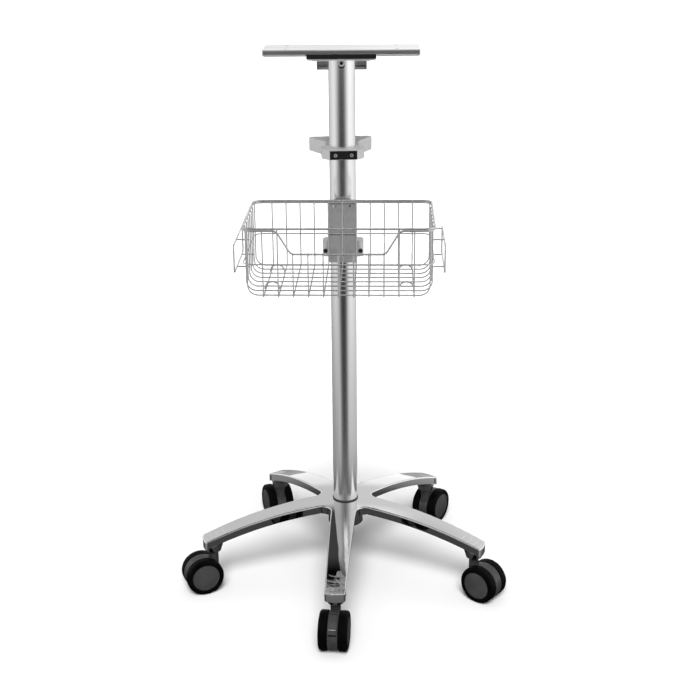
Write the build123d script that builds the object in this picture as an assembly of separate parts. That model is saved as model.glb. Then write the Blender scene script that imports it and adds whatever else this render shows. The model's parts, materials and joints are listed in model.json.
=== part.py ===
from build123d import *
from math import cos, radians, sin, sqrt
import os

# Roll stand for a patient monitor: a five-leg base on twin-wheel casters, a round column,
# a push handle, a wire basket and a top plate that carries the monitor.
#
# Millimetres, +Z up.  The origin is on the floor, on the axis of the column.
# -Y is the front, where the basket hangs; the top plate is square to X and Y.

# ---------------------------------------------------------------- driving dimensions
LEG_COUNT = 5
BASE_TURN = -3.5            # the front leg stands this many degrees off -Y
STEM_CIRCLE_R = 274.0       # column axis to caster stem
BASE_CROWN_Z = 167.0        # top of the base at the column
BASE_CROWN_R = 777.0        # radius of the domed top surface
LEG_DEPTH = 17.0            # height of a leg's side
LEG_HALF_ROOT = 26.6        # half width of a leg, carried back to the column axis
LEG_HALF_TIP = 19.8         # half width of a leg at its stem
LEG_END_R = 294.0           # column axis to the end of a leg
LEG_END_CROWN_R = 62.0      # bow of the end face, seen from above
LEG_CORNER_R = 5.0
LEG_INNER_FILLET = 19.0     # web between two legs, seen from above
LEG_EDGE_FILLET = 2.6
LEG_WALL = 4.0
SIDE_PANEL_INSET = 1.4      # the leg's sides step in below the rounded top edge
SIDE_PANEL_TOP_DROP = 3.9
SIDE_PANEL_INNER_R = 60.0
SIDE_PANEL_OUTER_R = 285.0
BOSS_BOTTOM_Z = 84.3
BOSS_BOTTOM_R = 15.5
BOSS_TOP_R = 19.5
BOSS_TAPER_H = 13.0
BOSS_TOP_Z = 112.0
HUB_SOCKET_R = 35.0
HUB_SOCKET_BOTTOM_Z = 116.0

COLUMN_R = 24.5
COLUMN_WALL = 2.5
COLUMN_FOOT_Z = 122.0
COLUMN_TOP_Z = 1046.0
SEAL_RING_R = 25.7
SEAL_RING_H = 2.0
ANCHOR_R = 4.0              # bolt that holds the column down on the base
ANCHOR_HEAD_R = 6.5
ANCHOR_HEAD_H = 7.0

FLANGE_T = 3.0
PAD_T = 8.0
PLATE_T = 7.7
RAIL_T = 4.0                # lower lip of the top plate, each side of the pad
PLATE_W = 284.0
PLATE_D = 91.0
PAD_W = 125.0
PLATE_BOLT_X = 200.0        # bolt pattern for the monitor, centre to centre
PLATE_BOLT_Y = 60.0
PLATE_BOLT_R = 2.75
PAD_SCREW_X = 96.0          # screws that hold flange, pad and plate together
PAD_SCREW_Y = 60.0
PAD_SCREW_R = 2.5
PAD_SCREW_HEAD_R = 4.2
PAD_SCREW_HEAD_H = 2.6
CROSSBAR_W = 92.0
CROSSBAR_H = 25.0
CROSSBAR_D = 20.0
CROSSBAR_FRONT_Y = 18.0
CROSSBAR_FRONT_ROUND = 9.0
CROSSBAR_BACK_ROUND = 3.5
HEAD_SCREW_Z = 1039.8
HEAD_SCREW_R = 4.0
HEAD_SCREW_HEAD_R = 6.2

HANDLE_TURN = 3.9
HANDLE_BOTTOM_Z = 866.0
HANDLE_CLAMP_H = 17.6
HANDLE_CLAMP_HALF_W = 39.0
HANDLE_CLAMP_FRONT_Y = -38.0
HANDLE_CLAMP_FRONT_HALF_W = 26.0
HANDLE_CLAMP_SIDE_Y = -22.0     # front end of the clamp's full width
HANDLE_LUG_BACK_Y = 7.5
HANDLE_CAP_R = 29.5             # rear half of the clamp, where it goes round the column
CLAMP_SPLIT = 0.3               # half the gap between the two halves of a clamp
FACE_PLATE_HALF_W = 25.0
FACE_PLATE_T = 2.0
FACE_SCREW_X = 14.7
HANDLE_BOLT_X = 35.6            # bolts that draw the two clamp halves together
HANDLE_BOLT_R = 2.0
HANDLE_BOLT_Y = (-16.0, 4.5)    # end of the shank, and underside of the head
STRAP_H = 25.0
STRAP_T = 4.0
STRAP_FOOT = (28.5, 7.0)        # where the strap joins the clamp, centre line
STRAP_HALF_W = 61.5             # rear corners of the strap, centre line
STRAP_REAR_Y = 70.0
STRAP_BEND_R = 6.0

BASKET_TURN = -1.3
BASKET_HALF_W = 165.5       # rim wire, centre line
BASKET_BACK_Y = -34.5
BASKET_FRONT_Y = -251.0
BASKET_RIM_Z = 789.5
BASKET_RING_Z = 726.7
BASKET_FLOOR_Z = 667.2      # cross wires, centre line
DIP_FLAT_Z = 745.0          # access opening in the front wall
DIP_FLAT_HALF_W = 81.0
DIP_TOP_HALF_W = 106.0
DIP_BEND_R = 12.0
RIM_WIRE_R = 1.75
MESH_WIRE_R = 1.25
WIRE_GAP = 0.02             # wires that are welded side by side stop this far apart
CORNER_R = 18.0             # rim corners in plan, and long wires where wall meets floor
CROSS_CORNER_R = 4.0
CROSS_WIRE_COUNT = 11
CROSS_WIRE_PITCH = 26.1
LONG_WIRE_COUNT = 8
LONG_WIRE_PITCH = 27.5
LONG_WIRE_FIRST_Y = -50.0
ARCH_WIRE_R = 1.5
ARCH_H = 13.5
ARCH_LONG_WIRES = (2, 6)    # the long wires that the arches stand on
SIDE_RAIL_X = 185.0
SIDE_RAIL_Y = (-202.0, -58.0)
SIDE_RAIL_Z = (698.0, 747.5)
SIDE_RAIL_WIRE_R = 1.5
SIDE_RAIL_BEND_R = 7.0
SIDE_RAIL_LONG_WIRES = (1, 4)   # the long wires that carry the rail's arms

BACK_PLATE_HALF_W = 26.4
BACK_PLATE_T = 2.0
BACK_PLATE_BOTTOM_Z = 670.0
BACK_PLATE_FLANGE_Y = -20.5
BACK_PLATE_RIB_W = 8.0
BACK_PLATE_RIB_H = 0.95
PLATE_HOLE_Z = 778.0
PLATE_HOLE_R = 2.3
PLATE_SCREW_X = 14.8
PLATE_SCREW_Z = 690.0
BASKET_CLAMP_Z = (676.5, 708.0)
BASKET_CLAMP_R = 30.5
BASKET_LUG_W = 77.6
BASKET_LUG_D = 29.0
BASKET_BOLT_X = 33.2
BASKET_BOLT_Z = 688.0
BOLT_R = 2.5
SMALL_SCREW_R = 2.0

WHEEL_R = 37.5
WHEEL_TRAIL = 24.5          # stem axis to wheel axle
HOUSING_HALF_W = 9.7
HOUSING_R = 36.5
TYRE_INNER_Y = 10.4
TYRE_OUTER_Y = 27.4
CORE_R = 27.6
CORE_DOME_R = 150.0
STEM_R = 5.5
NECK_R = 9.6
AXLE_R = 4.0
RUNNING_CLEARANCE = 0.05
CASTER_NAMES = ("front", "right", "back_right", "back_left", "left")
CASTER_TRAIL_ANGLE = (-96.0, -39.0, 57.0, 110.5, 202.0)    # which way each caster has swung

PEDAL_HALF_W = 7.6
PEDAL_R = (33.5, 38.2)      # inner and outer face, from the axle
PEDAL_ARC = (17.0, 78.0)    # degrees above the horizontal
PEDAL_POCKET_R = (26.5, 45.0)
PEDAL_POCKET_ARC = (12.0, 84.0)
PEDAL_PIN_R = 1.6
PEDAL_PIN_RADIUS = 31.5     # axle to hinge pin
PEDAL_PIN_ANGLE = 74.0
PEDAL_EYE_R = 3.0

# ---------------------------------------------------------------- helpers
os.makedirs("parts", exist_ok=True)
nodes = {}


def add(name, shape):
    """Keep a sub-part: one solid, or a list of separate solids."""
    solids = shape if isinstance(shape, list) else [shape]
    flat = [solid for item in solids for solid in item.solids()]
    nodes[name] = flat[0] if len(flat) == 1 else Compound(children=flat)


def block(x0, x1, y0, y1, z0, z1):
    return Pos((x0 + x1) / 2, (y0 + y1) / 2, (z0 + z1) / 2) * Box(x1 - x0, y1 - y0, z1 - z0)


def rod(radius, z0, z1, x=0.0, y=0.0):
    return Pos(x, y, (z0 + z1) / 2) * Cylinder(radius, z1 - z0)


def rod_along_y(radius, y0, y1, x=0.0, z=0.0):
    return Pos(x, (y0 + y1) / 2, z) * Rot(90, 0, 0) * Cylinder(radius, y1 - y0)


def prism(outline, z0, z1):
    """A sketch on the floor plane, made solid from z0 to z1."""
    return Pos(0, 0, z0) * extrude(outline, amount=z1 - z0)


def wire_along(points, radii, radius, closed=False):
    """A round wire bent along straight runs joined by tangent arcs."""
    path = FilletPolyline(*points, radius=radii, close=closed)
    start = Plane(origin=path @ 0, z_dir=path % 0)
    return sweep(start * Circle(radius), path=path)


def socket_screw(head_r, head_h, shank_r, shank_l, hex_r):
    """Cap screw pointing along +Y, its head's underside at the origin."""
    screw = rod_along_y(head_r, -head_h, 0) + rod_along_y(shank_r, 0, shank_l)
    hexagon = Plane.XZ.offset(head_h) * RegularPolygon(hex_r, 6)
    return screw - extrude(hexagon, amount=-head_h * 0.6)


def at_corners(spacing_x, spacing_y):
    return [(x, y) for x in (-spacing_x / 2, spacing_x / 2) for y in (-spacing_y / 2, spacing_y / 2)]


# ---------------------------------------------------------------- five-leg base
def leg_outline(inset=0.0):
    """The star seen from above, drawn in by the inset."""
    slope = (LEG_HALF_ROOT - LEG_HALF_TIP) / STEM_CIRCLE_R
    half_end = LEG_HALF_ROOT - slope * LEG_END_R - inset
    half_root = LEG_HALF_ROOT - inset
    leg = Polygon((0, -half_root), (LEG_END_R, -half_end), (LEG_END_R, half_end), (0, half_root), align=None)
    leg = leg & (Pos(LEG_END_R - LEG_END_CROWN_R, 0) * Circle(LEG_END_CROWN_R - inset)
                 + Pos(LEG_END_R / 2 - LEG_HALF_ROOT, 0) * Rectangle(LEG_END_R, 3 * LEG_HALF_ROOT))
    star = Sketch()
    for index in range(LEG_COUNT):
        star += Rot(0, 0, index * 360 / LEG_COUNT) * leg
    reach = [(corner, Vector(corner.center()).length) for corner in star.vertices()]
    star = fillet([corner for corner, length in reach if length > STEM_CIRCLE_R], LEG_CORNER_R - inset)
    inner = [corner for corner in star.vertices() if Vector(corner.center()).length < 2 * LEG_HALF_ROOT]
    return fillet(inner, LEG_INNER_FILLET)


def dome(drop):
    """Solid under the domed top surface, lowered by drop."""
    return Pos(0, 0, BASE_CROWN_Z - BASE_CROWN_R - drop) * Sphere(BASE_CROWN_R)


def make_boss():
    """Caster boss under the end of a leg, on the Z axis."""
    profile = Plane.XZ * Polygon(
        (0, BOSS_BOTTOM_Z),
        (BOSS_BOTTOM_R, BOSS_BOTTOM_Z),
        (BOSS_TOP_R, BOSS_BOTTOM_Z + BOSS_TAPER_H),
        (BOSS_TOP_R, BOSS_TOP_Z),
        (0, BOSS_TOP_Z),
        align=None,
    )
    return revolve(profile, Axis.Z) & Pos(-STEM_CIRCLE_R, 0, 0) * dome(1.0)


def make_base():
    low_z = BOSS_BOTTOM_Z
    high_z = BASE_CROWN_Z + 5
    outline = leg_outline()
    shell = prism(outline, low_z, high_z) & dome(0)
    top_face = shell.faces().sort_by(SortBy.AREA)[-1]
    shell = fillet(top_face.edges(), LEG_EDGE_FILLET)
    shell = shell - dome(LEG_DEPTH)
    shell = shell - (prism(leg_outline(LEG_WALL), low_z, high_z) & dome(LEG_WALL))
    base = shell + rod(HUB_SOCKET_R, HUB_SOCKET_BOTTOM_Z, BASE_CROWN_Z - 2)
    turns = [Rot(0, 0, index * 360 / LEG_COUNT) for index in range(LEG_COUNT)]
    for turn in turns:
        base += turn * Pos(STEM_CIRCLE_R, 0, 0) * make_boss()

    panel = prism(outline, low_z, high_z) - prism(leg_outline(SIDE_PANEL_INSET), low_z, high_z)
    panel = (panel & dome(SIDE_PANEL_TOP_DROP)) - dome(LEG_DEPTH)
    panel = panel & (rod(SIDE_PANEL_OUTER_R, low_z, high_z) - rod(SIDE_PANEL_INNER_R, low_z, high_z))
    base -= panel
    for turn in turns:
        base -= turn * rod(STEM_R, BOSS_BOTTOM_Z - 1, BOSS_BOTTOM_Z + 20, STEM_CIRCLE_R)
    base -= rod(COLUMN_R, COLUMN_FOOT_Z, high_z)
    base -= rod(ANCHOR_R, HUB_SOCKET_BOTTOM_Z - 1, COLUMN_FOOT_Z + 1)
    return Rot(0, 0, BASE_TURN - 90) * base


def stem_xy(index):
    angle = radians(BASE_TURN - 90 + index * 360 / LEG_COUNT)
    return STEM_CIRCLE_R * cos(angle), STEM_CIRCLE_R * sin(angle)


def make_stem(index):
    x, y = stem_xy(index)
    stem = rod(STEM_R, 62.5, BOSS_BOTTOM_Z + 19, x, y)
    return stem + rod(NECK_R, BOSS_BOTTOM_Z - 0.7, BOSS_BOTTOM_Z, x, y)


add("base_star", make_base())
add("caster_stems", [make_stem(index) for index in range(LEG_COUNT)])

# ---------------------------------------------------------------- column
column_bore_r = COLUMN_R - COLUMN_WALL
head_screw_hole = rod_along_y(HEAD_SCREW_R, -COLUMN_R - 5, CROSSBAR_FRONT_Y + 18, z=HEAD_SCREW_Z)
tube = rod(COLUMN_R, COLUMN_FOOT_Z, COLUMN_TOP_Z) - rod(column_bore_r, COLUMN_FOOT_Z - 1, COLUMN_TOP_Z + 1)
add("column_tube", tube - head_screw_hole)

ring = rod(SEAL_RING_R, BASE_CROWN_Z + 0.1, BASE_CROWN_Z + 0.1 + SEAL_RING_H)
ring = fillet(ring.edges(), 0.5)
add("column_seal_ring", ring - rod(COLUMN_R, BASE_CROWN_Z - 1, BASE_CROWN_Z + 5))

foot_plug = rod(column_bore_r, COLUMN_FOOT_Z, COLUMN_FOOT_Z + 24)
add("column_foot_plug", foot_plug - rod(ANCHOR_R, COLUMN_FOOT_Z - 1, COLUMN_FOOT_Z + 25))

anchor_head_z = HUB_SOCKET_BOTTOM_Z - ANCHOR_HEAD_H
anchor = rod(ANCHOR_R, HUB_SOCKET_BOTTOM_Z, COLUMN_FOOT_Z + 22)
anchor += rod(ANCHOR_HEAD_R, anchor_head_z, HUB_SOCKET_BOTTOM_Z)
add("column_anchor_bolt", anchor - prism(RegularPolygon(3.5, 6), anchor_head_z, anchor_head_z + 4))

# ---------------------------------------------------------------- head and top plate
flange_top_z = COLUMN_TOP_Z + FLANGE_T
pad_top_z = flange_top_z + PAD_T
plate_top_z = pad_top_z + PLATE_T
half_d = PLATE_D / 2
pad_screw_spots = at_corners(PAD_SCREW_X, PAD_SCREW_Y)

flange = block(-PAD_W / 2 + 0.5, PAD_W / 2 - 0.5, -half_d + 2, half_d - 2, COLUMN_TOP_Z, flange_top_z)
flange = fillet(flange.edges().filter_by(Axis.Z), 8)
flange += rod(column_bore_r, COLUMN_TOP_Z - 38, COLUMN_TOP_Z)
flange -= head_screw_hole
pad = block(-PAD_W / 2, PAD_W / 2, -half_d, half_d, flange_top_z, pad_top_z)
pad = fillet(pad.edges().filter_by(Axis.Z), 2.5)
plate = block(-PLATE_W / 2, PLATE_W / 2, -half_d, half_d, pad_top_z, plate_top_z)
plate = fillet(plate.edges().filter_by(Axis.Z), 3)
plate = fillet(plate.edges().group_by(Axis.Z)[-1], 1.4)
for x, y in pad_screw_spots:
    flange -= rod(PAD_SCREW_R, COLUMN_TOP_Z - 1, flange_top_z + 1, x, y)
    pad -= rod(PAD_SCREW_R, flange_top_z - 1, pad_top_z + 1, x, y)
    plate -= rod(PAD_SCREW_R, pad_top_z - 1, pad_top_z + 5, x, y)
for x, y in at_corners(PLATE_BOLT_X, PLATE_BOLT_Y):
    plate -= rod(PLATE_BOLT_R, pad_top_z - 1, plate_top_z + 1, x, y)
add("head_flange", flange)
add("head_pad", pad)
add("monitor_plate", plate)


def make_plate_rail(side):
    """Lip under one end of the top plate, its lower edges chamfered."""
    inner_x = PAD_W / 2 + 0.6
    outer_x = PLATE_W / 2 - 0.4
    rail = block(inner_x, outer_x, -half_d + 0.2, half_d - 0.2, pad_top_z - RAIL_T, pad_top_z)
    low_edges = [edge for edge in rail.edges().group_by(Axis.Z)[0] if edge.center().X > inner_x + 1]
    rail = chamfer(low_edges, RAIL_T - 0.6)
    for x, y in at_corners(PLATE_BOLT_X, PLATE_BOLT_Y):
        rail -= rod(PLATE_BOLT_R, pad_top_z - RAIL_T - 1, pad_top_z + 1, x, y)
    return rail if side > 0 else mirror(rail, Plane.YZ)


add("plate_side_rails", [make_plate_rail(side) for side in (-1, 1)])

pad_screws = []
for x, y in pad_screw_spots:
    screw = rod(PAD_SCREW_R, COLUMN_TOP_Z, pad_top_z + 5, x, y)
    pad_screws.append(screw + rod(PAD_SCREW_HEAD_R, COLUMN_TOP_Z - PAD_SCREW_HEAD_H, COLUMN_TOP_Z, x, y))
add("head_pad_screws", pad_screws)

bar_back_y = CROSSBAR_FRONT_Y + CROSSBAR_D
bar_bottom_z = COLUMN_TOP_Z - CROSSBAR_H
bar = block(-CROSSBAR_W / 2, CROSSBAR_W / 2, CROSSBAR_FRONT_Y, bar_back_y, bar_bottom_z, COLUMN_TOP_Z)
bar = fillet(bar.edges().filter_by(Axis.X).group_by(Axis.Y)[0], CROSSBAR_FRONT_ROUND)
bar = fillet(bar.edges().filter_by(Axis.X).group_by(Axis.Y)[-1], CROSSBAR_BACK_ROUND)
bar -= rod(COLUMN_R, bar_bottom_z - 1, COLUMN_TOP_Z + 1)
bar -= head_screw_hole
for x, y in pad_screw_spots:
    bar -= rod(PAD_SCREW_HEAD_R, COLUMN_TOP_Z - PAD_SCREW_HEAD_H, COLUMN_TOP_Z + 1, x, y)
add("head_crossbar", bar)

screw_seat_y = -COLUMN_R - 1.6
head_screw = socket_screw(HEAD_SCREW_HEAD_R, 6.0, HEAD_SCREW_R, 58.0, 3.4)
head_screw = Pos(0, screw_seat_y, HEAD_SCREW_Z) * head_screw
washer = rod_along_y(HEAD_SCREW_HEAD_R, screw_seat_y, -COLUMN_R + 3, z=HEAD_SCREW_Z)
washer -= rod(COLUMN_R, HEAD_SCREW_Z - 10, HEAD_SCREW_Z + 10)
add("head_clamp_screw", head_screw + washer)

# ---------------------------------------------------------------- handle
clamp_bore_r = COLUMN_R + RUNNING_CLEARANCE
handle_top_z = HANDLE_BOTTOM_Z + HANDLE_CLAMP_H
handle_mid_z = HANDLE_BOTTOM_Z + HANDLE_CLAMP_H / 2
turn_handle = Rot(0, 0, HANDLE_TURN)


front_outline = Polygon(
    (-HANDLE_CLAMP_HALF_W, -CLAMP_SPLIT),
    (-HANDLE_CLAMP_HALF_W, HANDLE_CLAMP_SIDE_Y),
    (-HANDLE_CLAMP_FRONT_HALF_W, HANDLE_CLAMP_FRONT_Y),
    (HANDLE_CLAMP_FRONT_HALF_W, HANDLE_CLAMP_FRONT_Y),
    (HANDLE_CLAMP_HALF_W, HANDLE_CLAMP_SIDE_Y),
    (HANDLE_CLAMP_HALF_W, -CLAMP_SPLIT),
    align=None,
)
rear_outline = Circle(HANDLE_CAP_R) + Rectangle(2 * HANDLE_CLAMP_HALF_W, 2 * HANDLE_LUG_BACK_Y)
rear_outline -= Pos(0, CLAMP_SPLIT - 50) * Rectangle(100, 100)
column_bore = rod(clamp_bore_r, HANDLE_BOTTOM_Z - 1, handle_top_z + 1)
handle_front = prism(front_outline, HANDLE_BOTTOM_Z, handle_top_z) - column_bore
handle_rear = prism(rear_outline, HANDLE_BOTTOM_Z, handle_top_z) - column_bore
handle_front = chamfer(handle_front.faces().sort_by(Axis.Y)[0].edges(), 0.8)
face_plate_y = HANDLE_CLAMP_FRONT_Y - FACE_PLATE_T
face_plate = block(-FACE_PLATE_HALF_W, FACE_PLATE_HALF_W, face_plate_y, HANDLE_CLAMP_FRONT_Y,
                   HANDLE_BOTTOM_Z + 1, handle_top_z - 1)

strap_points = [(-STRAP_FOOT[0], STRAP_FOOT[1]), (-STRAP_HALF_W, STRAP_REAR_Y),
                (STRAP_HALF_W, STRAP_REAR_Y), STRAP_FOOT]
strap_path = FilletPolyline(*[(x, y, HANDLE_BOTTOM_Z) for x, y in strap_points], radius=STRAP_BEND_R)
strap_start = Plane(origin=strap_path @ 0, z_dir=strap_path % 0, x_dir=(0, 0, 1))
strap_section = strap_start * Pos(STRAP_H / 2, 0) * RectangleRounded(STRAP_H, STRAP_T, 1.2)
strap = sweep(strap_section, path=strap_path)
strap -= prism(rear_outline, HANDLE_BOTTOM_Z - 1, HANDLE_BOTTOM_Z + STRAP_H + 4)
strap = strap.solids().sort_by(SortBy.VOLUME)[-1]

handle_screws = []
for side in (-1, 1):
    spot = Pos(side * FACE_SCREW_X, face_plate_y, handle_mid_z)
    handle_screws.append(spot * socket_screw(3.2, 1.0, SMALL_SCREW_R, 12.0, 1.7))
    hole = spot * rod_along_y(SMALL_SCREW_R, -5, 12.0)
    face_plate -= hole
    handle_front -= hole
    bolt_end_y, head_y = HANDLE_BOLT_Y
    spot = Pos(side * HANDLE_BOLT_X, head_y, handle_mid_z)
    bolt = socket_screw(HANDLE_BOLT_R, HANDLE_LUG_BACK_Y - head_y, HANDLE_BOLT_R, head_y - bolt_end_y, 1.1)
    handle_screws.append(spot * Rot(0, 0, 180) * bolt)
    hole = spot * rod_along_y(HANDLE_BOLT_R, bolt_end_y - head_y, HANDLE_LUG_BACK_Y - head_y)
    handle_front -= hole
    handle_rear -= hole
add("handle_clamp_front", turn_handle * handle_front)
add("handle_clamp_rear", turn_handle * handle_rear)
add("handle_face_plate", turn_handle * face_plate)
add("handle_screws", [turn_handle * screw for screw in handle_screws])
add("handle_strap", turn_handle * strap)

# ---------------------------------------------------------------- wire basket
turn_basket = Rot(0, 0, BASKET_TURN)
lower_rim_z = BASKET_RIM_Z - 2 * RIM_WIRE_R - WIRE_GAP
weld_step = RIM_WIRE_R + MESH_WIRE_R + WIRE_GAP
mesh_step = 2 * MESH_WIRE_R + WIRE_GAP
wall_x = BASKET_HALF_W - weld_step
wall_back_y = BASKET_BACK_Y - weld_step
wall_front_y = BASKET_FRONT_Y + weld_step
long_floor_z = BASKET_FLOOR_Z + mesh_step
long_wire_ys = [LONG_WIRE_FIRST_Y - index * LONG_WIRE_PITCH for index in range(LONG_WIRE_COUNT)]
outer_cross_x = (CROSS_WIRE_COUNT - 1) / 2 * CROSS_WIRE_PITCH
cross_wire_xs = [index * CROSS_WIRE_PITCH - outer_cross_x for index in range(CROSS_WIRE_COUNT)]


def rectangle_points(half_w, back_y, front_y, z):
    return [(-half_w, back_y, z), (half_w, back_y, z), (half_w, front_y, z), (-half_w, front_y, z)]


rim_points = rectangle_points(BASKET_HALF_W, BASKET_BACK_Y, BASKET_FRONT_Y, BASKET_RIM_Z)
add("basket_rim_wire", turn_basket * wire_along(rim_points, CORNER_R, RIM_WIRE_R, closed=True))

lower_rim_points = rectangle_points(BASKET_HALF_W, BASKET_BACK_Y, BASKET_FRONT_Y, lower_rim_z)
dip_points = [(x, BASKET_FRONT_Y, z) for x, z in (
    (DIP_TOP_HALF_W, lower_rim_z),
    (DIP_FLAT_HALF_W, DIP_FLAT_Z),
    (-DIP_FLAT_HALF_W, DIP_FLAT_Z),
    (-DIP_TOP_HALF_W, lower_rim_z),
)]
dipped_rim_points = lower_rim_points[:3] + dip_points + lower_rim_points[3:]
dipped_rim_radii = [CORNER_R] * 3 + [DIP_BEND_R] * 4 + [CORNER_R]
dipped_rim = wire_along(dipped_rim_points, dipped_rim_radii, RIM_WIRE_R, closed=True)
add("basket_lower_rim_wire", turn_basket * dipped_rim)

ring_points = rectangle_points(
    wall_x + mesh_step, wall_back_y + mesh_step, wall_front_y - mesh_step, BASKET_RING_Z)
add("basket_mid_ring", turn_basket * wire_along(ring_points, CORNER_R, MESH_WIRE_R, closed=True))

cross_wires = []
for x in cross_wire_xs:
    inside_dip = abs(x) < DIP_TOP_HALF_W - CROSS_WIRE_PITCH / 4
    front_top_z = DIP_FLAT_Z if inside_dip else lower_rim_z
    points = [
        (x, wall_back_y, lower_rim_z + 1),
        (x, wall_back_y, BASKET_FLOOR_Z),
        (x, wall_front_y, BASKET_FLOOR_Z),
        (x, wall_front_y, front_top_z + 1),
    ]
    cross_wires.append(turn_basket * wire_along(points, CROSS_CORNER_R, MESH_WIRE_R))
add("basket_cross_wires", cross_wires)


def wall_x_at(y):
    """Where a long wire climbs the side wall: further in where the rim turns its corner."""
    to_back = y + MESH_WIRE_R - (BASKET_BACK_Y - CORNER_R)
    to_front = (BASKET_FRONT_Y + CORNER_R) - (y - MESH_WIRE_R)
    into_corner = max(to_back, to_front, 0)
    if into_corner == 0:
        return wall_x
    inner_r = CORNER_R - weld_step
    return wall_x - inner_r + sqrt(inner_r**2 - into_corner**2) - WIRE_GAP * 5


long_wires = []
for y in long_wire_ys:
    half_w = wall_x_at(y)
    points = [
        (-half_w, y, lower_rim_z + 1),
        (-half_w, y, long_floor_z),
        (half_w, y, long_floor_z),
        (half_w, y, lower_rim_z + 1),
    ]
    long_wires.append(turn_basket * wire_along(points, CORNER_R, MESH_WIRE_R))
add("basket_long_wires", long_wires)

arches = []
arch_foot_z = long_floor_z + MESH_WIRE_R + ARCH_WIRE_R + WIRE_GAP
for side in (-1, 1):
    near_x = side * (outer_cross_x - CROSS_WIRE_PITCH)
    far_x = side * outer_cross_x
    for wire_index in ARCH_LONG_WIRES:
        y = long_wire_ys[wire_index]
        points = [(x, y, z) for x, z in (
            (far_x, arch_foot_z),
            (far_x, arch_foot_z + ARCH_H),
            (near_x, arch_foot_z + ARCH_H),
            (near_x, arch_foot_z),
        )]
        arches.append(turn_basket * wire_along(points, CROSS_WIRE_PITCH * 0.48, ARCH_WIRE_R))
add("basket_floor_arches", arches)

side_rails = []
rail_foot_x = wall_x + MESH_WIRE_R + WIRE_GAP
for side in (-1, 1):
    rail_points = [(side * SIDE_RAIL_X, y, z) for y, z in (
        (SIDE_RAIL_Y[0], SIDE_RAIL_Z[0]),
        (SIDE_RAIL_Y[0], SIDE_RAIL_Z[1]),
        (SIDE_RAIL_Y[1], SIDE_RAIL_Z[1]),
        (SIDE_RAIL_Y[1], SIDE_RAIL_Z[0]),
    )]
    rail = wire_along(rail_points, SIDE_RAIL_BEND_R, SIDE_RAIL_WIRE_R, closed=True)
    for wire_index in SIDE_RAIL_LONG_WIRES:
        for z in SIDE_RAIL_Z:
            arm = Rot(0, 90, 0) * Cylinder(SIDE_RAIL_WIRE_R - 0.15, SIDE_RAIL_X - rail_foot_x)
            rail += Pos(side * (rail_foot_x + SIDE_RAIL_X) / 2, long_wire_ys[wire_index], z) * arm
    side_rails.append(turn_basket * rail)
add("basket_side_rails", side_rails)

plate_front_y = BASKET_BACK_Y + RIM_WIRE_R + WIRE_GAP
plate_back_y = plate_front_y + BACK_PLATE_T
plate_top = BASKET_RIM_Z - 3
back_plate = block(-BACK_PLATE_HALF_W, BACK_PLATE_HALF_W, plate_front_y, BACK_PLATE_FLANGE_Y,
                   BACK_PLATE_BOTTOM_Z, plate_top)
back_plate = fillet(back_plate.edges().filter_by(Axis.Z).group_by(Axis.Y)[0], 2.4)
back_plate -= block(-BACK_PLATE_HALF_W + BACK_PLATE_T, BACK_PLATE_HALF_W - BACK_PLATE_T, plate_back_y, 0,
                    BACK_PLATE_BOTTOM_Z - 1, plate_top + 1)
rib = block(-BACK_PLATE_RIB_W / 2, BACK_PLATE_RIB_W / 2, plate_front_y - BACK_PLATE_RIB_H, plate_front_y + 1,
            BACK_PLATE_BOTTOM_Z + 6, plate_top - 8)
rib = fillet(rib.edges().filter_by(Axis.Y), 3.5)
rib = fillet(rib.faces().sort_by(Axis.Y)[0].edges(), 0.9)
back_plate += rib

clamp_outline = Circle(BASKET_CLAMP_R) + Rectangle(41, -2 * plate_back_y)
clamp_outline += RectangleRounded(BASKET_LUG_W, BASKET_LUG_D, 9)
clamp = prism(clamp_outline, *BASKET_CLAMP_Z)
clamp -= block(-60, 60, -60, plate_back_y, *BASKET_CLAMP_Z)
clamp = chamfer(clamp.faces().sort_by(Axis.Z)[-1].edges(), 1.2)
clamp -= rod(clamp_bore_r, BASKET_CLAMP_Z[0] - 1, BASKET_CLAMP_Z[1] + 1)
clamp_front = clamp - block(-60, 60, -CLAMP_SPLIT, 60, *BASKET_CLAMP_Z)
clamp_rear = clamp - block(-60, 60, -60, CLAMP_SPLIT, *BASKET_CLAMP_Z)
lug_front_y = -BASKET_LUG_D / 2
basket_screws = []
for side in (-1, 1):
    lug_spot = Pos(side * BASKET_BOLT_X, lug_front_y, BASKET_BOLT_Z)
    basket_screws.append(turn_basket * lug_spot * socket_screw(4.2, 1.2, BOLT_R, 24, 2.4))
    shank = lug_spot * rod_along_y(BOLT_R, -1, 24)
    clamp_front -= shank
    clamp_rear -= shank
    plate_spot = Pos(side * PLATE_SCREW_X, plate_front_y, PLATE_SCREW_Z)
    basket_screws.append(turn_basket * plate_spot * socket_screw(3.6, 2.2, SMALL_SCREW_R, 5.5, 1.9))
    shank = plate_spot * rod_along_y(SMALL_SCREW_R, -1, 5.5)
    back_plate -= shank
    clamp_front -= shank
    back_plate -= rod_along_y(PLATE_HOLE_R, plate_front_y - 5, plate_back_y + 1,
                              x=side * PLATE_SCREW_X, z=PLATE_HOLE_Z)
add("basket_back_plate", turn_basket * back_plate)
add("basket_clamp_front", turn_basket * clamp_front)
add("basket_clamp_rear", turn_basket * clamp_rear)
add("basket_screws", basket_screws)


# ---------------------------------------------------------------- casters
# A caster is made with its stem on the Z axis and its wheels trailing along +X.
def to_axle(shape):
    return Pos(WHEEL_TRAIL, 0, WHEEL_R) * shape


def round_axle(radius, angle):
    """Point in the wheel's plane, at an angle in degrees above the horizontal."""
    return radius * cos(radians(angle)), radius * sin(radians(angle))


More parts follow.
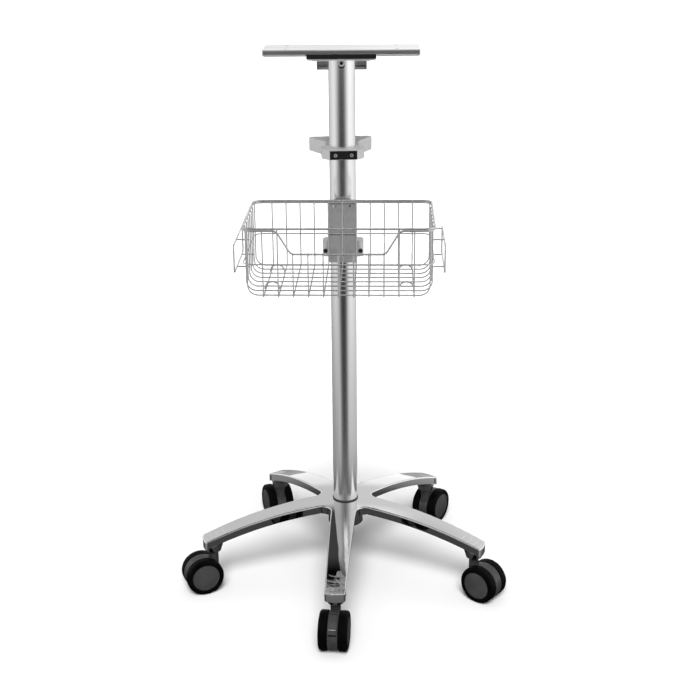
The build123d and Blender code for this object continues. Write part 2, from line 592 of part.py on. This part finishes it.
def ring_sector(radii, arc, half_w):
    """Part of a ring round the axle, between two radii and two angles."""
    inner_r, outer_r = radii
    middle = (arc[0] + arc[1]) / 2
    outer = [round_axle(outer_r, angle) for angle in (arc[0], middle, arc[1])]
    inner = [round_axle(inner_r, angle) for angle in (arc[1], middle, arc[0])]
    outline = ThreePointArc(*outer) + Line(outer[-1], inner[0])
    outline += ThreePointArc(*inner) + Line(inner[-1], outer[0])
    return extrude(Plane.XZ * make_face(outline), amount=half_w, both=True)


pin_x, pin_z = round_axle(PEDAL_PIN_RADIUS, PEDAL_PIN_ANGLE)


def make_housing(with_pedal):
    """Body between the two wheels, with the neck that takes the stem."""
    hood = rod_along_y(HOUSING_R, -HOUSING_HALF_W, HOUSING_HALF_W)
    hood -= block(-50, 50, -20, 20, -50, -WHEEL_R + 13)
    hood = fillet(hood.edges().filter_by(GeomType.CIRCLE), 1.2)
    body = to_axle(hood)
    body += rod(NECK_R, 50, BOSS_BOTTOM_Z - 1.0)
    body -= rod(STEM_R + RUNNING_CLEARANCE, 62.0, 90)
    body -= rod_along_y(AXLE_R, -20, 20, x=WHEEL_TRAIL, z=WHEEL_R)
    if with_pedal:
        body -= to_axle(ring_sector(PEDAL_POCKET_R, PEDAL_POCKET_ARC, PEDAL_HALF_W + 0.4))
        body -= to_axle(rod_along_y(PEDAL_PIN_R + RUNNING_CLEARANCE, -20, 20, x=pin_x, z=pin_z))
    return body


def make_pedal():
    shell = ring_sector(PEDAL_R, PEDAL_ARC, PEDAL_HALF_W)
    shell = fillet(shell.edges().filter_by(Axis.Y), 1.0)
    eye = rod_along_y(PEDAL_EYE_R, -PEDAL_HALF_W, PEDAL_HALF_W, x=pin_x, z=pin_z)
    pin = rod_along_y(PEDAL_PIN_R, -HOUSING_HALF_W, HOUSING_HALF_W, x=pin_x, z=pin_z)
    return to_axle(shell + eye + pin)


def rim_edge(solid, outermost):
    """The round edge of a wheel part that is furthest out along Y, or furthest in."""
    ends = solid.edges().filter_by(GeomType.CIRCLE).sort_by(Axis.Y)
    return ends[-1] if outermost else ends[0]


def make_tyre():
    """Tyre of the wheel on the +Y side: rounded tread, open in the middle for its core."""
    tyre = rod_along_y(WHEEL_R, TYRE_INNER_Y, TYRE_OUTER_Y)
    tyre = fillet(rim_edge(tyre, outermost=True), (TYRE_OUTER_Y - TYRE_INNER_Y) * 0.3)
    tyre = fillet(rim_edge(tyre, outermost=False), 2.0)
    return to_axle(tyre - rod_along_y(CORE_R, TYRE_INNER_Y - 1, TYRE_OUTER_Y + 1))


def make_core():
    """Plastic wheel centre with a slightly domed outer cover."""
    core = rod_along_y(CORE_R, TYRE_INNER_Y, TYRE_OUTER_Y - 0.6)
    core = fillet(rim_edge(core, outermost=True), 1.0)
    crown = Pos(0, TYRE_OUTER_Y + 1.4 - CORE_DOME_R, 0) * Sphere(CORE_DOME_R)
    core += rod_along_y(CORE_R - 2.2, TYRE_INNER_Y, TYRE_OUTER_Y + 1.5) & crown
    core -= rod_along_y(AXLE_R + RUNNING_CLEARANCE, TYRE_INNER_Y - 1, TYRE_INNER_Y + 12.6)
    relief = rod_along_y(20, TYRE_INNER_Y - 1, TYRE_INNER_Y + 4)
    core -= relief - rod_along_y(9, TYRE_INNER_Y - 2, TYRE_INNER_Y + 5)
    return to_axle(core)


axle = rod_along_y(AXLE_R, -TYRE_INNER_Y - 12, TYRE_INNER_Y + 12, x=WHEEL_TRAIL, z=WHEEL_R)
tyre = make_tyre()
core = make_core()
wheel_sides = {"a": (tyre, core), "b": (mirror(tyre, Plane.XZ), mirror(core, Plane.XZ))}
for index, name in enumerate(CASTER_NAMES):
    x, y = stem_xy(index)
    place = Pos(x, y, 0) * Rot(0, 0, CASTER_TRAIL_ANGLE[index])
    has_brake = name == "front"
    add(f"caster_{name}_housing", place * make_housing(with_pedal=has_brake))
    add(f"caster_{name}_axle", place * axle)
    for letter, (wheel_tyre, wheel_core) in wheel_sides.items():
        add(f"caster_{name}_tyre_{letter}", place * wheel_tyre)
        add(f"caster_{name}_core_{letter}", place * wheel_core)
    if has_brake:
        add(f"caster_{name}_brake_pedal", place * make_pedal())

# ---------------------------------------------------------------- files
for name, shape in nodes.items():
    export_step(shape, f"parts/{name}.step")
print(len(nodes), "parts written")
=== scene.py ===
import json
from math import atan2, cos, pi, radians, sin, sqrt

import bpy
from mathutils import Matrix, Vector


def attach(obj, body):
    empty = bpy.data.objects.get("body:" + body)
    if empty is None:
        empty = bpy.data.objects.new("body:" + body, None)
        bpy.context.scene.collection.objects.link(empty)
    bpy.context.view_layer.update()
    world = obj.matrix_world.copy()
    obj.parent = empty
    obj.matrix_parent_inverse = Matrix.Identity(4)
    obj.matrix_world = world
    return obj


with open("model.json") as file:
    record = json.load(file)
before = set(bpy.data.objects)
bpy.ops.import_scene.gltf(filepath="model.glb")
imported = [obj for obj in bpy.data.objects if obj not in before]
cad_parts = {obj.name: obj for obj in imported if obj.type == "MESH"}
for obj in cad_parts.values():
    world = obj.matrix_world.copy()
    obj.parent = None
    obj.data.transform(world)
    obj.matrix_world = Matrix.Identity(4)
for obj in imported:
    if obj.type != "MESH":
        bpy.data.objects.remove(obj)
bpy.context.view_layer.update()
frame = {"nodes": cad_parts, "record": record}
NODES = frame["nodes"]

# ---------------------------------------------------------------- driving values (metres, degrees)
CAMERA_AT = (0.029, -2.402, 1.330)
CAMERA_TURN = 0.58          # to the left of +Y
CAMERA_PITCH = 19.26        # below level
CAMERA_ROLL = -0.47
LENS_MM = 67.6
SENSOR_MM = 36.0

FLOOR_SIZE = 60.0
FLOOR_ALBEDO = 0.86
FLOOR_GLOW = (0.0, 0.42)    # near the base and away from it: away from it the floor stays white
FLOOR_GLOW_REACH = (0.42, 0.72)     # distances from the column where the glow starts and is full
SKY_FILL = 0.06             # light from all round, on matt surfaces
# Broad lights that cast the floor shadows, from the front and from above: power, spread, elevation.
MATT_LIGHTS = {
    "key_light": (3.7, 26.0, 46.0),
    "overhead_light": (0.95, 70.0, 90.0),
}
TOP_LIGHT_AT = (0.0, -1.7, 3.0)     # softbox that only shiny edges see
TOP_LIGHT_SIZE = 1.6
TOP_LIGHT_POWER = 8.0
REFLECTED_FLOOR_R = 12.0
REFLECTED_FLOOR_Z = 0.0004
REFLECTED_FLOOR_CORNERS = 96
# Greys of the reflected studio, each as (place, grey). Round the column the place runs from behind
# through the left side to the front at 0.5, and on through the right side.
FLOOR_NEAR = ((0.0, 0.34), (0.12, 0.32), (0.30, 0.40), (0.38, 0.58), (0.45, 0.12), (0.50, 0.06),
              (0.56, 0.12), (0.62, 0.62), (0.88, 0.55), (1.0, 0.34))
FLOOR_FAR = ((0.0, 0.45), (0.035, 0.40), (0.06, 0.10), (0.10, 0.60), (0.30, 0.90), (0.46, 0.02),
             (0.53, 0.02), (0.68, 1.10), (0.90, 0.80), (0.94, 0.10), (0.965, 0.40), (1.0, 0.45))
# Close to the column the place is the distance from it instead, with 1 at CLOSE_TO_NEAR's far end.
# Darker towards the column: painted shade of the floor under the base, seen only in reflections.
FLOOR_CLOSE_SHADE = ((0.0, 0.02), (0.55, 0.06), (0.72, 0.22), (1.0, 0.45))
CLOSE_TO_NEAR = (0.40, 0.70)        # distances where one of these zones turns into the next
NEAR_TO_FAR = (0.8, 2.6)
WALLS = ((0.0, 0.62), (0.30, 0.60), (0.50, 0.20), (0.70, 0.90), (1.0, 0.68))
UPPER_WALLS = ((0.0, 0.05), (0.05, 0.06), (0.08, 0.50), (0.30, 0.50), (0.50, 0.15), (0.70, 0.80),
               (0.95, 0.60), (0.98, 1.10), (1.0, 1.10))
UPPER_FROM = (0.50, 0.58)   # sine of the elevation where the upper walls take over
# What the walls' greys are multiplied by at each sine of the elevation: next to nothing overhead.
HEIGHTS = ((0.0, 1.7), (0.20, 1.5), (0.32, 1.0), (0.84, 1.0), (0.91, 0.03))

# Grip ribs cast on the top of each leg, near its tip.
LEG_COUNT = 5
BASE_TURN = -93.5           # the front leg's direction, from +X
CROWN_Z = 0.167             # the base's domed top: its height at the column, and its radius
CROWN_R = 0.777
RIB_PLACES = (0.2534, 0.2665, 0.2779, 0.2885)   # crest of each rib, from the column's axis
RIB_HALF_LENGTH = 0.0143
RIB_BOW_R = 0.030
RIB_THICKNESS = 0.0016
RIB_STEPS = 20
RIB_ROUND = (1.4, 0.8)      # a rib's width and height, over its radius
RIB_NUDGE = 1e-4            # step along a rib that gives its direction

# Ribs and the pedal's line are rods: sides round one, and its radius at the ends over its full one.
ROD_SIDES = 12
ROD_END = 0.12

# The front caster's brake pedal, and the raised line across it.
STEM_CIRCLE_R = 0.274
CASTER_TRAIL = 0.0245
WHEEL_R = 0.0375
PEDAL_TURN = -96.0          # the way the front caster has swung
PEDAL_OUTER_R = 0.0382
SEAM_RISE = 31.6            # degrees above the axle's level
SEAM_HALF_LENGTH = 0.0074
SEAM_THICKNESS = 0.0011
SEAM_ROUND = (1.0, 0.6)     # the line's height on the pedal and how far it stands out, over its radius
SEAM_STEPS = 8

# Painted shade in the hexagon sockets of the screw heads, as black linings seen from the front: body, face
# centre, radius, depth, turn about Z.
HANDLE_TURN = 3.9
SOCKET_SHADES = (
    ("stand", (0.0, -0.0321, 1.0398), 0.0033, 0.0034, 0.0),
    ("handle", (-0.0147, -0.0410, 0.8748), 0.00165, 0.0005, HANDLE_TURN),
    ("handle", (0.0147, -0.0410, 0.8748), 0.00165, 0.0005, HANDLE_TURN),
)
SOCKET_TAPER = 0.96         # a socket's radius at its floor, over its radius at the mouth
SOCKET_CONE = 1.05          # depth of the cone's point, over the socket's depth
COLUMN_R = 0.0245
SLOT_SHADE_R = 0.0060             # painted shade under the head screw: radius of the slot's rounded end
SLOT_SHADE_Z = 1.0355
SLOT_SHADE_LIFT = 0.0001          # the painted shade lies this far off the column, so that it shows
SLOT_SHADE_STEPS = 16

NOISE_DETAIL = 3.0
NOISE_ROUGHNESS = 0.55
NOISE_RANGE = (0.3, 0.7)    # where nearly all of a noise's values lie


# ---------------------------------------------------------------- node helpers
class Graph:
    """A short way to build a node tree."""

    def __init__(self, tree):
        self.tree = tree
        self.tree.nodes.clear()

    def node(self, kind, **values):
        made = self.tree.nodes.new(kind)
        for name, value in values.items():
            if hasattr(made, name):
                setattr(made, name, value)
            else:
                made.inputs[name.replace("_", " ")].default_value = value
        return made

    def link(self, source, target):
        self.tree.links.new(source, target)

    def noise(self, scale, stretch):
        place = self.node("ShaderNodeTexCoord")
        mapping = self.node("ShaderNodeMapping")
        mapping.inputs["Scale"].default_value = stretch
        self.link(place.outputs["Object"], mapping.inputs["Vector"])
        noise = self.node("ShaderNodeTexNoise")
        noise.inputs["Scale"].default_value = scale
        noise.inputs["Detail"].default_value = NOISE_DETAIL
        noise.inputs["Roughness"].default_value = NOISE_ROUGHNESS
        self.link(mapping.outputs["Vector"], noise.inputs["Vector"])
        return noise.outputs["Fac"]

    def spread(self, source, low, high, from_low=NOISE_RANGE[0], from_high=NOISE_RANGE[1]):
        """Stretch a value that runs from from_low to from_high to the range low to high."""
        ramp = self.node("ShaderNodeMapRange")
        ramp.inputs["From Min"].default_value = from_low
        ramp.inputs["From Max"].default_value = from_high
        ramp.inputs["To Min"].default_value = low
        ramp.inputs["To Max"].default_value = high
        self.link(source, ramp.inputs["Value"])
        return ramp.outputs["Result"]

    def blend(self, factor, low_colour, high_colour):
        mix = self.node("ShaderNodeMix", data_type="RGBA")
        mix.inputs[6].default_value = (*low_colour, 1)
        mix.inputs[7].default_value = (*high_colour, 1)
        self.link(factor, mix.inputs["Factor"])
        return mix.outputs[2]

    def mix(self, factor, first, second):
        mix = self.node("ShaderNodeMix", data_type="RGBA")
        self.link(factor, mix.inputs["Factor"])
        self.link(first, mix.inputs[6])
        self.link(second, mix.inputs[7])
        return mix.outputs[2]

    def multiply(self, first, second):
        product = self.node("ShaderNodeMix", data_type="RGBA", blend_type="MULTIPLY")
        product.inputs["Factor"].default_value = 1.0
        self.link(first, product.inputs[6])
        self.link(second, product.inputs[7])
        return product.outputs[2]

    def bump(self, height, strength, distance):
        bump = self.node("ShaderNodeBump")
        bump.inputs["Strength"].default_value = strength
        bump.inputs["Distance"].default_value = distance
        self.link(height, bump.inputs["Height"])
        return bump.outputs["Normal"]


def new_material(name, metallic, roughness, colours, grain, rough_grain=None, bump=None, specular=0.5):
    """A surface with colour and gloss that vary on their own grain, and a fine bump.

    colours is (darker, lighter); grain and rough_grain are (scale, stretch); roughness is (low, high);
    bump is (scale, stretch, strength, depth in metres).
    """
    material = bpy.data.materials.new(name)
    material.use_nodes = True
    graph = Graph(material.node_tree)
    out = graph.node("ShaderNodeOutputMaterial")
    shader = graph.node("ShaderNodeBsdfPrincipled")
    shader.inputs["Metallic"].default_value = metallic
    shader.inputs["Specular IOR Level"].default_value = specular
    graph.link(shader.outputs["BSDF"], out.inputs["Surface"])
    tint = graph.noise(grain[0], stretch=grain[1])
    graph.link(graph.blend(graph.spread(tint, 0, 1), *colours), shader.inputs["Base Color"])
    rough_scale, rough_stretch = rough_grain or grain
    gloss = graph.noise(rough_scale, stretch=rough_stretch)
    graph.link(graph.spread(gloss, *roughness), shader.inputs["Roughness"])
    if bump:
        scale, stretch, strength, depth = bump
        height = graph.noise(scale, stretch=stretch)
        graph.link(graph.bump(height, strength, depth), shader.inputs["Normal"])
    return material


def grey(value):
    return (value, value, value)


EVEN = (1, 1, 1)
BRUSHED_UP = (1, 1, 0.02)       # lines that run along Z
BRUSHED_X = (0.02, 1, 1)

MATERIALS = {
    "polished_aluminium": new_material(
        "polished_aluminium", 1.0, (0.015, 0.045), (grey(0.80), grey(0.86)), (6, EVEN), (30, EVEN),
        (14, EVEN, 0.03, 0.002)),
    "satin_aluminium": new_material(
        "satin_aluminium", 1.0, (0.20, 0.25), (grey(0.80), grey(0.84)), (90, BRUSHED_UP), (220, BRUSHED_UP),
        (420, BRUSHED_UP, 0.04, 0.0005)),
    "plate_aluminium": new_material(
        "plate_aluminium", 1.0, (0.16, 0.24), (grey(0.76), grey(0.82)), (60, BRUSHED_X), (300, BRUSHED_X),
        (500, BRUSHED_X, 0.05, 0.0004)),
    "clamp_aluminium": new_material(
        "clamp_aluminium", 0.5, (0.38, 0.50), (grey(0.46), grey(0.54)), (40, EVEN), (240, EVEN),
        (900, EVEN, 0.10, 0.0004)),
    "zinc_steel": new_material(
        "zinc_steel", 0.7, (0.24, 0.36), (grey(0.66), grey(0.76)), (120, EVEN), (400, EVEN),
        (900, EVEN, 0.05, 0.0002)),
    "black_screw": new_material(
        "black_screw", 0.0, (0.30, 0.45), (grey(0.008), grey(0.016)), (300, EVEN), None,
        (900, EVEN, 0.08, 0.0002)),
    "wire_white": new_material(
        "wire_white", 0.9, (0.18, 0.26), (grey(0.60), grey(0.68)), (60, EVEN), (200, EVEN),
        (420, EVEN, 0.04, 0.0003)),
    "bracket_grey": new_material(
        "bracket_grey", 0.5, (0.36, 0.50), (grey(0.28), grey(0.34)), (60, EVEN), (300, EVEN),
        (900, EVEN, 0.12, 0.0003)),
    "pad_black": new_material(
        "pad_black", 0.0, (0.50, 0.65), (grey(0.003), grey(0.007)), (80, EVEN), (300, EVEN),
        (700, EVEN, 0.15, 0.0003), specular=0.25),
    "seal_black": new_material(
        "seal_black", 0.0, (0.40, 0.55), (grey(0.03), grey(0.05)), (80, EVEN), None,
        (700, EVEN, 0.10, 0.0003)),
    "plug_plastic": new_material(
        "plug_plastic", 0.0, (0.40, 0.55), (grey(0.05), grey(0.08)), (80, EVEN), None,
        (700, EVEN, 0.10, 0.0003)),
    "tyre_black": new_material(
        "tyre_black", 0.0, (0.45, 0.60), (grey(0.0005), grey(0.002)), (50, EVEN), (140, EVEN),
        (500, EVEN, 0.06, 0.0003), specular=0.06),
    "housing_grey": new_material(
        "housing_grey", 0.0, (0.34, 0.48), (grey(0.026), grey(0.040)), (60, EVEN), (260, EVEN),
        (1100, EVEN, 0.15, 0.0003)),
    "hub_grey": new_material(
        "hub_grey", 0.0, (0.38, 0.50), (grey(0.034), grey(0.046)), (40, EVEN), (260, EVEN),
        (1200, EVEN, 0.15, 0.0003)),
}

# Pieces whose finish stands out from the rest of their slot.
SPECIAL_FINISH = {
    "head_crossbar": "plate_aluminium",
    "head_flange": "clamp_aluminium",
    "plate_side_rails": "clamp_aluminium",
    "handle_screws": "bracket_grey",
}
INNER_SCREW_REACH = 0.020   # the basket's screws this near the middle are painted with its back plate

for part in frame["record"]["subparts"]:
    piece = NODES[part["node"]]
    finish = SPECIAL_FINISH.get(part["node"], part["material_slot"])
    piece.data.materials.clear()
    piece.data.materials.append(MATERIALS[finish])
    for face in piece.data.polygons:
        face.material_index = 0

basket_screws = NODES["basket_screws"]
basket_screws.data.materials.append(MATERIALS["bracket_grey"])
for face in basket_screws.data.polygons:
    if abs(face.center.x) < INNER_SCREW_REACH:
        face.material_index = 1


# ---------------------------------------------------------------- ribs, and painted shade in the sockets and slot
def new_piece(name, points, faces, finish, body):
    mesh = bpy.data.meshes.new(name)
    mesh.from_pydata(points, [], faces)
    piece = bpy.data.objects.new(name, mesh)
    bpy.context.collection.objects.link(piece)
    mesh.materials.append(MATERIALS[finish])
    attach(piece, body)
    return piece


def crown_point(along, sideways, direction):
    """A point on the base's domed top, and the dome's normal there."""
    side = Vector((-direction.y, direction.x, 0))
    flat = along * direction + sideways * side
    centre = Vector((0, 0, CROWN_Z - CROWN_R))
    height = sqrt(CROWN_R**2 - flat.length_squared)
    point = centre + flat + Vector((0, 0, height))
    return point, (point - centre).normalized()


def rod_ring(centre, first_axis, second_axis, thickness, proportions, place):
    """Points round a rod at a place from -1 to 1 along it. The rod narrows towards both ends."""
    radius = thickness / 2 * max(sqrt(1 - place**4), ROD_END)
    ring = []
    for corner in range(ROD_SIDES):
        angle = 2 * pi * corner / ROD_SIDES
        first = proportions[0] * cos(angle) * first_axis
        second = proportions[1] * sin(angle) * second_axis
        ring.append(centre + radius * (first + second))
    return ring


def add_rod(rings, points, faces):
    """Join rings of points into one closed rod."""
    first = len(points)
    for ring in rings:
        points.extend(ring)
    for step in range(len(rings) - 1):
        low = first + step * ROD_SIDES
        high = low + ROD_SIDES
        for corner in range(ROD_SIDES):
            after = (corner + 1) % ROD_SIDES
            faces.append((low + corner, low + after, high + after, high + corner))
    faces.append(tuple(range(first, first + ROD_SIDES)))
    faces.append(tuple(reversed(range(len(points) - ROD_SIDES, len(points)))))


def rib_rings(crest, direction):
    """Rings of one grip rib, which bows towards the leg's tip in the middle."""
    rings = []
    for step in range(RIB_STEPS + 1):
        place = 2 * step / RIB_STEPS - 1
        sideways = RIB_HALF_LENGTH * place
        bow = RIB_BOW_R - sqrt(RIB_BOW_R**2 - sideways**2)
        point, normal = crown_point(crest - bow, sideways, direction)
        ahead, _ = crown_point(crest - bow, sideways + RIB_NUDGE, direction)
        across = (ahead - point).cross(normal).normalized()
        rings.append(rod_ring(point, across, normal, RIB_THICKNESS, RIB_ROUND, place))
    return rings


def make_grip_ribs():
    """Bowed ribs on the top of every leg, near its tip."""
    points = []
    faces = []
    for leg in range(LEG_COUNT):
        angle = radians(BASE_TURN + 360 * leg / LEG_COUNT)
        direction = Vector((cos(angle), sin(angle), 0))
        for crest in RIB_PLACES:
            add_rod(rib_rings(crest, direction), points, faces)
    ribs = new_piece("leg_grip_ribs", points, faces, "polished_aluminium", "stand")
    ribs.data.shade_smooth()


def make_pedal_seam():
    """Raised line across the front caster's brake pedal."""
    stem = Vector((cos(radians(BASE_TURN)), sin(radians(BASE_TURN)), 0)) * STEM_CIRCLE_R
    trail = Vector((cos(radians(PEDAL_TURN)), sin(radians(PEDAL_TURN)), 0))
    across = Vector((-trail.y, trail.x, 0))
    outward = cos(radians(SEAM_RISE)) * trail + Vector((0, 0, sin(radians(SEAM_RISE))))
    along = outward.cross(across)
    middle = stem + CASTER_TRAIL * trail + Vector((0, 0, WHEEL_R)) + PEDAL_OUTER_R * outward
    rings = []
    for step in range(SEAM_STEPS + 1):
        place = 2 * step / SEAM_STEPS - 1
        centre = middle + SEAM_HALF_LENGTH * place * across
        rings.append(rod_ring(centre, along, outward, SEAM_THICKNESS, SEAM_ROUND, place))
    points = []
    faces = []
    add_rod(rings, points, faces)
    seam = new_piece("pedal_seam", points, faces, "zinc_steel", "brake_pedal")
    seam.data.shade_smooth()


def make_socket_shade(name, body, face, radius, depth, turn):
    """Black lining of a hexagon socket that opens to -Y, with the cone that the drill left: painted shade
    in the recess.
    """
    points = []
    for y, scale in ((0.0, 1.0), (depth, SOCKET_TAPER)):
        for corner in range(6):
            angle = pi / 3 * corner
            points.append(Vector((radius * scale * cos(angle), y, radius * scale * sin(angle))))
    points.append(Vector((0, depth * SOCKET_CONE, 0)))
    sides = [(c, (c + 1) % 6, 6 + (c + 1) % 6, 6 + c) for c in range(6)]
    floor = [(6 + c, 6 + (c + 1) % 6, 12) for c in range(6)]
    swing = Matrix.Rotation(radians(turn), 3, "Z")
    points = [swing @ (Vector(face) + point) for point in points]
    new_piece(name, points, sides + floor, "black_screw", body)


def make_slot_shade():
    """Painted shade: a dark patch lying on the column just below the head screw, shaped as the rounded
    lower end of a slot.
    """
    points = []
    for step in range(SLOT_SHADE_STEPS + 1):
        x = SLOT_SHADE_R * (2 * step / SLOT_SHADE_STEPS - 1)
        y = -sqrt((COLUMN_R + SLOT_SHADE_LIFT)**2 - x**2)
        points.append((x, y, SLOT_SHADE_Z))
        points.append((x, y, SLOT_SHADE_Z - sqrt(max(SLOT_SHADE_R**2 - x**2, 0))))
    faces = [(2 * s, 2 * s + 1, 2 * s + 3, 2 * s + 2) for s in range(SLOT_SHADE_STEPS)]
    new_piece("head_slot_shade", points, faces, "black_screw", "stand")


make_grip_ribs()
make_pedal_seam()
# Painted shade: black linings in the screw sockets.
for number, socket in enumerate(SOCKET_SHADES, 1):
    make_socket_shade(f"screw_socket_shade_{number}", *socket)
# Painted shade: a dark crescent on the column just below the head screw.
make_slot_shade()


# ---------------------------------------------------------------- floor, light, surroundings
def stage_material(name):
    """An empty node tree for a part of the studio."""
    material = bpy.data.materials.new(name)
    material.use_nodes = True
    graph = Graph(material.node_tree)
    out = graph.node("ShaderNodeOutputMaterial")
    return material, graph, out.inputs["Surface"]


def make_floor():
    """White paper that takes shadows near the base. Shiny parts see another floor instead of it."""
    bpy.ops.mesh.primitive_plane_add(size=FLOOR_SIZE, location=(0, 0, 0))
    floor = bpy.context.active_object
    floor.name = "studio_floor"
    material, graph, surface = stage_material("studio_floor")
    paper = graph.node("ShaderNodeBsdfDiffuse")
    paper.inputs["Color"].default_value = (*grey(FLOOR_ALBEDO), 1)
    glow = graph.node("ShaderNodeEmission")
    place = graph.node("ShaderNodeTexCoord")
    length = graph.node("ShaderNodeVectorMath", operation="LENGTH")
    graph.link(place.outputs["Object"], length.inputs[0])
    strength = graph.spread(length.outputs["Value"], *FLOOR_GLOW, *FLOOR_GLOW_REACH)
    graph.link(strength, glow.inputs["Strength"])
    both = graph.node("ShaderNodeAddShader")
    graph.link(paper.outputs["BSDF"], both.inputs[0])
    graph.link(glow.outputs["Emission"], both.inputs[1])
    graph.link(both.outputs["Shader"], surface)
    floor.data.materials.append(material)
    floor.visible_glossy = False


def ramp_of(graph, source, stops):
    """Greys at places along a 0 to 1 value, as (place, grey) pairs."""
    ramp = graph.node("ShaderNodeValToRGB")
    ramp.color_ramp.interpolation = "EASE"
    while len(ramp.color_ramp.elements) < len(stops):
        ramp.color_ramp.elements.new(0.5)
    for element, (place, value) in zip(ramp.color_ramp.elements, stops):
        element.position = place
        element.color = (*grey(value), 1)
    graph.link(source, ramp.inputs["Fac"])
    return ramp.outputs["Color"]


def around(graph, coordinates):
    """0 to 1 round the column, from behind it through -X, 0.5 at -Y, then +X."""
    split = graph.node("ShaderNodeSeparateXYZ")
    graph.link(coordinates, split.inputs["Vector"])
    angle = graph.node("ShaderNodeMath", operation="ARCTAN2")
    back = graph.node("ShaderNodeMath", operation="MULTIPLY")
    back.inputs[1].default_value = -1.0
    graph.link(split.outputs["Y"], back.inputs[0])
    graph.link(split.outputs["X"], angle.inputs[0])
    graph.link(back.outputs["Value"], angle.inputs[1])
    turn = graph.node("ShaderNodeMapRange")
    turn.inputs["From Min"].default_value = -pi
    turn.inputs["From Max"].default_value = pi
    graph.link(angle.outputs["Value"], turn.inputs["Value"])
    return turn.outputs["Result"], split.outputs["Z"]


def make_reflected_floor():
    """What shiny parts see of the floor: pale at the sides, dark in front and behind, and darker close in,
    painted shade of the floor under the base.
    """
    bpy.ops.mesh.primitive_circle_add(vertices=REFLECTED_FLOOR_CORNERS, radius=REFLECTED_FLOOR_R,
                                      fill_type="NGON")
    card = bpy.context.active_object
    card.name = "reflected_floor"
    card.location.z = REFLECTED_FLOOR_Z
    material, graph, surface = stage_material("reflected_floor")
    place = graph.node("ShaderNodeTexCoord")
    turn, _ = around(graph, place.outputs["Object"])
    near = ramp_of(graph, turn, FLOOR_NEAR)
    far = ramp_of(graph, turn, FLOOR_FAR)
    length = graph.node("ShaderNodeVectorMath", operation="LENGTH")
    graph.link(place.outputs["Object"], length.inputs[0])
    distance = graph.spread(length.outputs["Value"], 0, 1, 0, CLOSE_TO_NEAR[1])
    # painted shade: darker towards the column
    close = ramp_of(graph, distance, FLOOR_CLOSE_SHADE)
    inner = graph.mix(graph.spread(length.outputs["Value"], 0, 1, *CLOSE_TO_NEAR), close, near)
    outer = graph.mix(graph.spread(length.outputs["Value"], 0, 1, *NEAR_TO_FAR), inner, far)
    glow = graph.node("ShaderNodeEmission")
    graph.link(outer, glow.inputs["Color"])
    graph.link(glow.outputs["Emission"], surface)
    card.data.materials.append(material)
    card.visible_camera = False
    card.visible_diffuse = False
    card.visible_shadow = False
    card.visible_transmission = False


def make_matt_lights():
    """Suns that light matt surfaces and stay out of reflections."""
    for name, (power, spread, elevation) in MATT_LIGHTS.items():
        light = bpy.data.lights.new(name, "SUN")
        light.energy = power
        light.angle = radians(spread)
        lamp = bpy.data.objects.new(name, light)
        lamp.rotation_euler.x = radians(90 - elevation)
        lamp.visible_glossy = False
        bpy.context.collection.objects.link(lamp)


def make_top_light():
    """Softbox that faces the column's foot from above the front."""
    light = bpy.data.lights.new("top_softbox", "AREA")
    light.shape = "SQUARE"
    light.size = TOP_LIGHT_SIZE
    light.energy = TOP_LIGHT_POWER
    softbox = bpy.data.objects.new("top_softbox", light)
    softbox.location = TOP_LIGHT_AT
    softbox.rotation_euler.x = atan2(-TOP_LIGHT_AT[1], TOP_LIGHT_AT[2])
    softbox.visible_diffuse = False
    bpy.context.collection.objects.link(softbox)


def make_surroundings():
    """Even light for matt surfaces, and white to the eye. Shiny surfaces see pale walls, dark above."""
    world = bpy.data.worlds.new("studio")
    bpy.context.scene.world = world
    world.use_nodes = True
    graph = Graph(world.node_tree)
    out = graph.node("ShaderNodeOutputWorld")
    matt = graph.node("ShaderNodeBackground")
    matt.inputs["Color"].default_value = (1, 1, 1, 1)
    matt.inputs["Strength"].default_value = SKY_FILL
    place = graph.node("ShaderNodeTexCoord")
    turn, height = around(graph, place.outputs["Generated"])
    upper = graph.spread(height, 0, 1, *UPPER_FROM)
    walls = graph.mix(upper, ramp_of(graph, turn, WALLS), ramp_of(graph, turn, UPPER_WALLS))
    shiny = graph.node("ShaderNodeBackground")
    graph.link(graph.multiply(walls, ramp_of(graph, height, HEIGHTS)), shiny.inputs["Color"])
    paths = graph.node("ShaderNodeLightPath")
    mix = graph.node("ShaderNodeMixShader")
    graph.link(paths.outputs["Is Glossy Ray"], mix.inputs["Fac"])
    graph.link(matt.outputs["Background"], mix.inputs[1])
    graph.link(shiny.outputs["Background"], mix.inputs[2])
    white = graph.node("ShaderNodeBackground")
    white.inputs["Color"].default_value = (1, 1, 1, 1)
    backdrop = graph.node("ShaderNodeMixShader")
    graph.link(paths.outputs["Is Camera Ray"], backdrop.inputs["Fac"])
    graph.link(mix.outputs["Shader"], backdrop.inputs[1])
    graph.link(white.outputs["Background"], backdrop.inputs[2])
    graph.link(backdrop.outputs["Shader"], out.inputs["Surface"])


def make_camera():
    """The photo's camera, as fitted to the stand."""
    turn, pitch, roll = radians(CAMERA_TURN), radians(CAMERA_PITCH), radians(CAMERA_ROLL)
    forward = Vector((-sin(turn) * cos(pitch), cos(turn) * cos(pitch), -sin(pitch)))
    level = Vector((cos(turn), sin(turn), 0))
    upward = level.cross(forward)
    right = cos(roll) * level + sin(roll) * upward
    up = cos(roll) * upward - sin(roll) * level
    axes = Matrix((right, up, -forward)).transposed().to_4x4()
    data = bpy.data.cameras.new("camera")
    data.sensor_width = SENSOR_MM
    data.lens = LENS_MM
    camera = bpy.data.objects.new("camera", data)
    camera.matrix_world = Matrix.Translation(CAMERA_AT) @ axes
    bpy.context.collection.objects.link(camera)
    bpy.context.scene.camera = camera


make_floor()
make_reflected_floor()
make_matt_lights()
make_top_light()
make_surroundings()
make_camera()
bpy.context.scene.view_settings.view_transform = "Standard"
